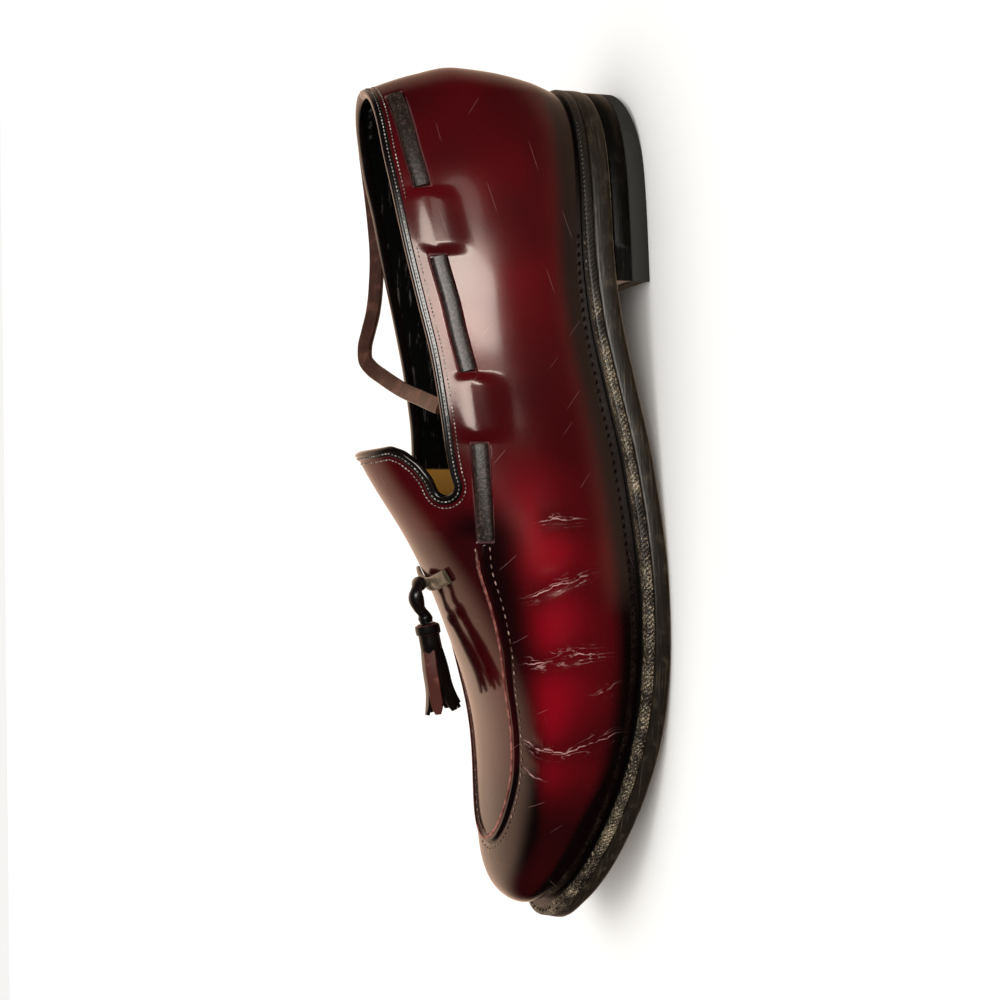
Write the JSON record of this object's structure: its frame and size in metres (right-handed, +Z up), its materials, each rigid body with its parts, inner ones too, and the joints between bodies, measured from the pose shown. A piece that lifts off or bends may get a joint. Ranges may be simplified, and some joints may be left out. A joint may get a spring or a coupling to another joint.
{
  "type": "tassel loafer",
  "caption": "Low slip-on leather shoe with raised apron seam, lace threaded round the collar, two tassels, welted sole and stacked heel.",
  "frame": {"origin": "centre of the bounding box at floor level, measured without the tassels and the free lace", "axes": "+Z up from the floor, -Y towards the toe, +X towards the outer (lateral) side of this left shoe"},
  "size_m": [0.1038, 0.305, 0.0955],
  "materials": {
    "oxblood_leather": "high gloss, burnished, lightly creased",
    "collar_binding": "satin black, folded and stitched",
    "tan_insole": "matt, worn",
    "grained_welt": "grained dark brown",
    "sole_leather": "dressed dark edge, brown worn underside",
    "heel_leather": "dressed dark edge",
    "heel_rubber": "matt, worn at the back corner",
    "brown_lace": "grained dark brown",
    "black_tassel": "satin black with brown edges"
  },
  "bodies": {
    "root": {"upper": "oxblood_leather", "collar_binding": "collar_binding", "insole": "tan_insole", "welt": "grained_welt", "outsole": "sole_leather", "heel_stack": "heel_leather", "heel_top_piece": "heel_rubber", "lace_lateral_rear": "brown_lace", "lace_lateral_middle": "brown_lace", "lace_lateral_front": "brown_lace", "lace_medial_front": "brown_lace", "vamp_strap": "brown_lace", "lace_knot": "brown_lace", "lace_slack": "brown_lace", "tassel_lateral": "black_tassel", "tassel_medial": "black_tassel"}
  },
  "joints": []
}
